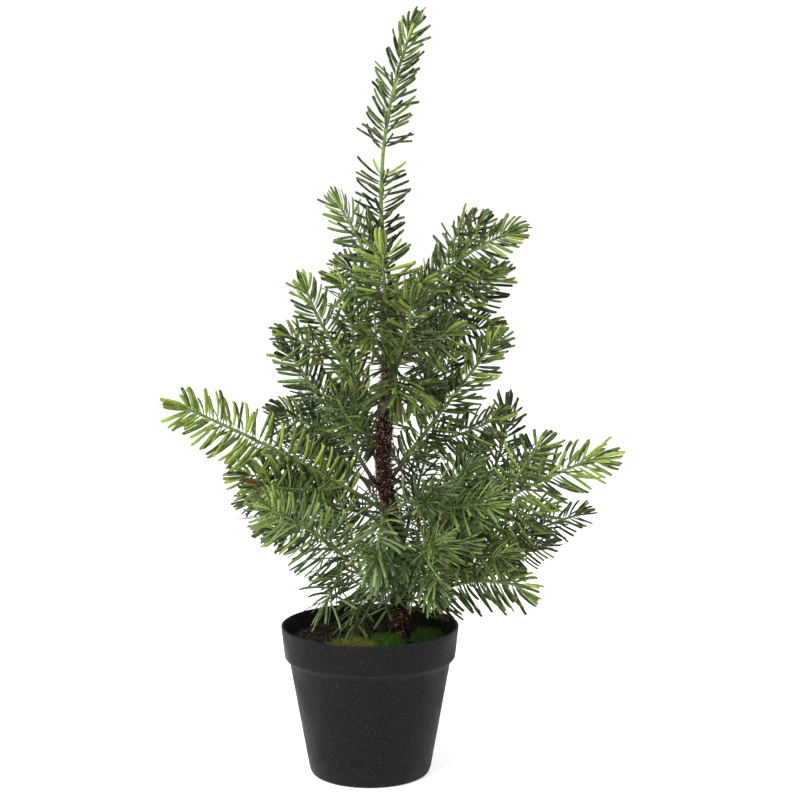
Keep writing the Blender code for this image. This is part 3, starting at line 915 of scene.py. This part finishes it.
class TREE_OT_soil(bpy.types.Operator):
    """Lays the uneven soil bed with its crumbs and loose coir fibres"""
    bl_idname = "tree.soil"
    bl_label = "Soil"

    def execute(self, context):
        s = context.scene.tree_ground
        rng = np.random.default_rng(3)
        reach, top = SOIL_HIGH.x, SOIL_HIGH.z
        profile = [(reach - 0.0012, SOIL_LOW.z), (reach - 0.0004, top - 0.0025)]
        profile += [(radius, top - 0.0014) for radius in np.linspace(reach - 0.0015, 0.004, 15)]
        bed = lathe("soil_bed", profile, 72)
        for vertex in bed.data.vertices:
            if vertex.co.z > top - 0.002:
                vertex.co.z += 0.0022 * noise.noise(vertex.co * 95) + 0.0008 * noise.noise(vertex.co * 420)
        bed.data.shade_smooth()
        set_mark(bed.data, "tone", rng.uniform(0.15, 0.5, len(bed.data.vertices)))

        count = s.crumbs
        origin = on_disc(rng, reach - 0.003, top - 0.0006, count)
        size = rng.uniform(0.0005, 0.0017, (count, 1)) * rng.uniform(0.7, 1.3, (count, 3))
        template = crumb_template()
        spots = copies(template, origin, rng.normal(0, 1, (count, 3)), rng.normal(0, 1, (count, 3)), size)
        marks = {"tone": np.repeat(rng.choice((0.1, 0.3, 0.5, 0.72), count), len(template.points))}
        crumbs = piece_of("soil_crumbs", template, spots, marks)

        count = s.straws
        origin = on_disc(rng, reach - 0.009, top + 0.0004, count)
        way = rng.normal(0, 1, (count, 3)) * (1, 1, 0.16)
        long = rng.uniform(0.004, 0.01, count)
        straws = hairs("soil_straws", rng, origin, way, long, (0.00012, 0.0003), (0.0015, 0.0015, 0.00045),
                       lambda total: rng.uniform(0.68, 1.0, total))
        made = joined(bed, crumbs, straws)
        placed(made, soil_finish(s), "soil_crumb", "root", "soil_cover")
        return {"FINISHED"}


class TREE_OT_moss(bpy.types.Operator):
    """Makes the moss clumps: a lumpy mound under a nap of fine threads"""
    bl_idname = "tree.moss"
    bl_label = "Moss"

    def execute(self, context):
        s = context.scene.tree_ground
        looks = {"moss_front_left": ("moss_golden", s.golden), "moss_centre": ("moss_green", s.green),
                 "moss_right": ("moss_green", s.green)}
        finishes = {slot: moss_finish(slot, colour) for slot, colour in looks.values()}
        for number, (name, (slot, _)) in enumerate(looks.items()):
            rng = np.random.default_rng(40 + number)
            low, high = (np.array(corner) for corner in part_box(name))
            middle = (low + high) / 2
            half = (high - low) / 2
            middle[2] = low[2]
            nothing_selected()
            bpy.ops.mesh.primitive_ico_sphere_add(subdivisions=4, radius=1, location=(0, 0, 0))
            mound = bpy.context.object
            mound.name = mound.data.name = "clump_" + name
            bpy.ops.object.mode_set(mode="EDIT")
            bpy.ops.mesh.select_all(action="SELECT")
            bpy.ops.mesh.bisect(plane_co=(0, 0, -0.05), plane_no=(0, 0, 1), use_fill=True, clear_inner=True)
            bpy.ops.object.mode_set(mode="OBJECT")
            for vertex in mound.data.vertices:
                lump = 1 + 0.22 * noise.noise(vertex.co * 3 + Vector(middle) * 60) if vertex.co.z > 0 else 1
                vertex.co = Vector((vertex.co.x * half[0] * lump, vertex.co.y * half[1] * lump,
                                    vertex.co.z * 1.3 * half[2] * lump)) + Vector(middle)
            mound.data.shade_smooth()
            set_mark(mound.data, "tone", rng.uniform(0.05, 0.35, len(mound.data.vertices)))

            spots = points_of(mound.data)
            normals = np.array([vertex.normal for vertex in mound.data.vertices])
            upper = np.nonzero(spots[:, 2] > low[2] + 0.0004)[0]
            pick = rng.choice(upper, s.threads)
            origin = spots[pick] + rng.normal(0, 0.0006, (s.threads, 3)) - 0.0006 * normals[pick]
            way = normals[pick] * 0.55 + rng.normal(0, 0.62, (s.threads, 3))
            way[:, 2] = np.abs(way[:, 2]) * 0.7
            long = s.thread * rng.uniform(0.45, 1.15, s.threads)
            nap = hairs("nap", rng, origin, way, long, (0.0001, 0.00022), 0.0012,
                        lambda total: rng.uniform(0.25, 1.0, total))
            placed(joined(mound, nap), finishes[slot], slot, "root", name)
        return {"FINISHED"}


# Share of the bark fibres that are cream
PALE_SHARE = 0.36


class TREE_OT_trunk(bpy.types.Operator):
    """Wraps the trunk in lumpy bark with short loose fibres, and a collar at each branch"""
    bl_idname = "tree.trunk"
    bl_label = "Trunk"

    def execute(self, context):
        s = context.scene.tree_trunk
        rng = np.random.default_rng(7)
        centres, radii = trunk_rings()
        heights = np.linspace(SOIL_HIGH.z - 0.004, centres[-1, 2] + 0.0015, 74)
        line = on_line(heights, centres)
        thick = 0.99 * np.interp(heights, centres[:, 2], radii)
        thick[-1] *= 0.55
        thick[-2] *= 0.88
        made = tubes("bark_wrap", [(line, thick)], 5)
        for vertex in made.data.vertices:
            x, y, _ = on_line(vertex.co.z, line)
            away = Vector((vertex.co.x - x, vertex.co.y - y, 0))
            wrap = math.sin(math.atan2(away.y, away.x) + vertex.co.z * 640)
            lump = noise.noise(vertex.co * 130) + 0.6 * noise.noise(vertex.co * 420) + 0.25 * wrap
            vertex.co += away * s.lumps * lump
        set_mark(made.data, "tone", rng.uniform(0.1, 0.55, len(made.data.vertices)))

        count = s.fibres
        z = rng.uniform(heights[0] + 0.003, heights[-1], count)
        turn = rng.random(count) * FULL_TURN
        spread = np.stack([np.cos(turn), np.sin(turn), np.zeros(count)], axis=1)
        radius = np.interp(z, heights[:-2], thick[:-2])
        origin = on_line(z, line) + spread * (radius * rng.uniform(0.88, 1.04, count))[:, None]
        around = np.cross(UP, spread)
        way = 0.62 * spread * rng.uniform(0.2, 1.6, (count, 1)) + around * rng.normal(0, 0.6, (count, 1))
        way = way + UP * rng.normal(-0.25, 0.75, (count, 1))
        collars = []
        for name in JOINTS:
            pivot, out = root_of(name)
            ahead = rng.normal(0, 1, (s.collar, 3))
            place = pivot - 0.002 * out + 0.003 * unit(ahead) * rng.random((s.collar, 1))
            collars.append((place, 0.5 * out + 0.75 * unit(ahead)))
        origin = np.concatenate([origin] + [place for place, _ in collars])
        way = np.concatenate([way] + [heading for _, heading in collars])
        long = s.fibre * rng.uniform(0.35, 1.15, len(origin))

        def tone(total):
            pale = rng.random(total) < PALE_SHARE
            return np.where(pale, rng.uniform(0.84, 1.0, total), rng.uniform(0.05, 0.7, total))

        fibres = hairs("bark_fibres", rng, origin, way, long, (0.0002, 0.00046), 0.0009, tone)
        placed(joined(made, fibres), bark_finish(s), "bark_fibre", "root", "trunk_bark")
        return {"FINISHED"}


class TREE_OT_branches(bpy.types.Operator):
    """Grows every branch: a coated stem and its twigs, and a comb of moulded needles on each"""
    bl_idname = "tree.branches"
    bl_label = "Branches"

    def execute(self, context):
        s = context.scene.tree_sprays
        missing = set(JOINTS) ^ set(LOOKS)
        if missing:
            raise RuntimeError(f"these branches have no joint or no look: {sorted(missing)}")
        template = strand_template(4, NEEDLE_SHAPE)
        stem, needle = stem_finish(s), needle_finish(s)
        for name in LOOKS:
            make_branch(name, template, s, stem, needle)
        return {"FINISHED"}


# Where the sky goes from its horizon strength to its overhead one, as shares of straight up
SKY_FADE = (0.12, 0.55)
# Each lamp's place and size, and the spot they all face
LAMPS = {"key_light": ((-0.95, -1.35, 1.7), 1.1), "fill_light": ((1.5, -1.2, 0.8), 1.2),
         "back_light": ((0.4, 1.7, 1.5), 1.2)}
LAMP_AIM = Vector((0.02, 0.0, 0.3))


def stood(name, data, place, turned):
    """A lamp or camera in the scene."""
    made = bpy.data.objects.new(name, data)
    made.location, made.rotation_euler = place, turned
    bpy.context.scene.collection.objects.link(made)
    return made


class TREE_OT_stage(bpy.types.Operator):
    """Sets the pale floor, the soft lights and the camera"""
    bl_idname = "tree.stage"
    bl_label = "Stage"

    def execute(self, context):
        s = context.scene.tree_stage
        scene = context.scene
        nothing_selected()
        bpy.ops.mesh.primitive_plane_add(size=60, location=(0, 0, -0.0004))
        floor = bpy.context.object
        floor.name = "floor"
        bpy.ops.object.transform_apply(location=True, rotation=True, scale=True)
        material = finish("floor_white", 0.85, Specular_IOR_Level=0.1, Emission_Color=(1.0, 1.0, 1.0, 1.0),
                          Emission_Strength=s.glow)
        soft = grain(material, place_of(material), 3, 2)
        to_shader(material, "Base Color", mixed(material, soft, tint(s.floor, 0.985), tuple(s.floor)))
        floor.data.materials.append(material)

        world = bpy.data.worlds.new("soft_white")
        world.use_nodes = True
        background = world.node_tree.nodes["Background"]
        background.inputs["Color"].default_value = (1.0, 1.0, 1.0, 1.0)
        way = node(world, "TexCoord").outputs["Generated"]
        height = node(world, "SeparateXYZ", {"Vector": way}).outputs["Z"]
        strength = band(world, height, *SKY_FADE, s.sky, s.overhead)
        world.node_tree.links.new(strength, background.inputs["Strength"])
        scene.world = world
        powers = {"key_light": s.key, "fill_light": s.fill, "back_light": s.fill}
        for name, (place, size) in LAMPS.items():
            lamp = bpy.data.lights.new(name, "AREA")
            lamp.energy, lamp.size = powers[name], size
            stood(name, lamp, place, (LAMP_AIM - Vector(place)).to_track_quat("-Z", "Y").to_euler())
        eye = bpy.data.cameras.new("camera")
        eye.lens, eye.sensor_width = s.lens, 36.0
        scene.camera = stood("camera", eye, s.camera, (math.pi / 2 - s.tilt, 0.0, 0.0))
        scene.view_settings.view_transform = "Standard"
        return {"FINISHED"}


STEPS = (TREE_OT_stage, TREE_OT_pot, TREE_OT_filling, TREE_OT_soil, TREE_OT_moss, TREE_OT_trunk,
         TREE_OT_branches)


class TREE_PT_panel(bpy.types.Panel):
    """Lists the tree's steps and settings"""
    bl_label = "Tabletop Tree"
    bl_idname = "TREE_PT_panel"
    bl_space_type = "VIEW_3D"
    bl_region_type = "UI"
    bl_category = "Tabletop Tree"

    def draw(self, context):
        for step in STEPS:
            self.layout.operator(step.bl_idname)
        for attribute in SETTINGS:
            settings = getattr(context.scene, attribute)
            box = self.layout.box()
            for key in settings.bl_rna.properties.keys():
                if key not in ("rna_type", "name"):
                    box.prop(settings, key)


def register():
    for made in (*SETTINGS.values(), *STEPS, TREE_PT_panel):
        bpy.utils.register_class(made)
    for attribute, settings in SETTINGS.items():
        setattr(bpy.types.Scene, attribute, PointerProperty(type=settings))


def unregister():
    for attribute in SETTINGS:
        delattr(bpy.types.Scene, attribute)
    for made in reversed((*SETTINGS.values(), *STEPS, TREE_PT_panel)):
        bpy.utils.unregister_class(made)


def main():
    register()
    for step in STEPS:
        getattr(bpy.ops.tree, step.bl_idname.split(".")[1])()


if __name__ == "__main__":
    main()
